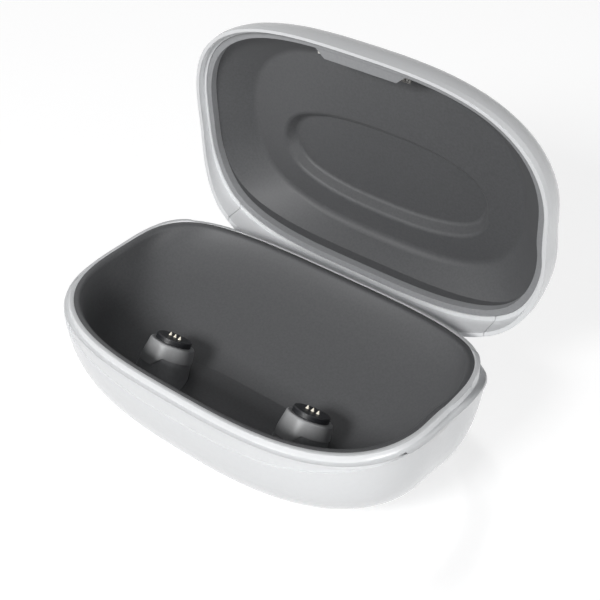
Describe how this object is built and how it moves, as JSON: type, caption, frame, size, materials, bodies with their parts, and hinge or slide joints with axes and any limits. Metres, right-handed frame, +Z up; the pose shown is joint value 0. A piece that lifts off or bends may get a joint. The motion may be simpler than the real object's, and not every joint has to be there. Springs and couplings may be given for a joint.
{
  "type": "hearing aid charger",
  "caption": "Clamshell charging case for a pair of in-ear hearing aids: a rounded white base with two leaning contact posts in a dark tray, under a hinged domed lid.",
  "frame": {"origin": "middle of the foot pad, on the floor under the centre of the opening", "axes": "+X to the case's right along its length, -Y towards the user at the front, +Z up; the hinge is at +Y"},
  "size_m": [0.1048, 0.0892, 0.0854],
  "materials": {
    "white_shell": "glossy white moulded shell",
    "dark_soft_touch": "matte soft-touch, fine grain",
    "grey_trim": "matte mid grey",
    "grey_collar": "satin light grey",
    "black_plastic": "matte black",
    "post_plastic": "satin dark grey",
    "gold_contact": "polished gold plating",
    "foot_rubber": "matte rubber",
    "steel": "plain ground steel",
    "nickel": "bright nickel plating",
    "board_green": "solder mask",
    "cell_wrap": "foil pouch"
  },
  "bodies": {
    "base": {"base_lower_shell": "white_shell", "base_upper_band": "white_shell", "base_liner": "dark_soft_touch", "foot_pad": "foot_rubber", "base_screws": "steel", "base_magnets": "nickel", "hinge_pin": "steel", "battery_cell": "cell_wrap", "main_board": "board_green", "usb_c_socket": "steel", "left_post_core": "post_plastic", "left_post_collar": "grey_collar", "left_post_cap": "black_plastic", "left_contact_block": "black_plastic", "left_post_magnet": "nickel", "left_contact_board": "board_green", "right_post_core": "post_plastic", "right_post_collar": "grey_collar", "right_post_cap": "black_plastic", "right_contact_block": "black_plastic", "right_post_magnet": "nickel", "right_contact_board": "board_green"},
    "lid": {"lid_outer_shell": "white_shell", "lid_hinge_cover": "white_shell", "lid_trim_ring": "grey_trim", "lid_liner": "dark_soft_touch", "lid_magnets": "nickel"},
    "left_contact_pin_1": {"left_contact_pin_1": "gold_contact"},
    "left_contact_pin_2": {"left_contact_pin_2": "gold_contact"},
    "left_contact_pin_3": {"left_contact_pin_3": "gold_contact"},
    "right_contact_pin_1": {"right_contact_pin_1": "gold_contact"},
    "right_contact_pin_2": {"right_contact_pin_2": "gold_contact"},
    "right_contact_pin_3": {"right_contact_pin_3": "gold_contact"}
  },
  "joints": [
    {"name": "lid_hinge", "type": "hinge", "parent": "base", "child": "lid", "pos_m": [0, 0.0302, 0.0182], "axis": [1, 0, 0], "range_deg": [0, 83]},
    {"name": "left_contact_pin_1_slide", "type": "slide", "parent": "base", "child": "left_contact_pin_1", "axis": [0, -0.5721, -0.8202], "range_m": [0, 0.0006], "stiffness_N_per_m": 800, "springref_m": -0.0004},
    {"name": "left_contact_pin_2_slide", "type": "slide", "parent": "base", "child": "left_contact_pin_2", "axis": [0, -0.5721, -0.8202], "range_m": [0, 0.0006], "stiffness_N_per_m": 800, "springref_m": -0.0004},
    {"name": "left_contact_pin_3_slide", "type": "slide", "parent": "base", "child": "left_contact_pin_3", "axis": [0, -0.5721, -0.8202], "range_m": [0, 0.0006], "stiffness_N_per_m": 800, "springref_m": -0.0004},
    {"name": "right_contact_pin_1_slide", "type": "slide", "parent": "base", "child": "right_contact_pin_1", "axis": [0, -0.5721, -0.8202], "range_m": [0, 0.0006], "stiffness_N_per_m": 800, "springref_m": -0.0004},
    {"name": "right_contact_pin_2_slide", "type": "slide", "parent": "base", "child": "right_contact_pin_2", "axis": [0, -0.5721, -0.8202], "range_m": [0, 0.0006], "stiffness_N_per_m": 800, "springref_m": -0.0004},
    {"name": "right_contact_pin_3_slide", "type": "slide", "parent": "base", "child": "right_contact_pin_3", "axis": [0, -0.5721, -0.8202], "range_m": [0, 0.0006], "stiffness_N_per_m": 800, "springref_m": -0.0004}
  ]
}
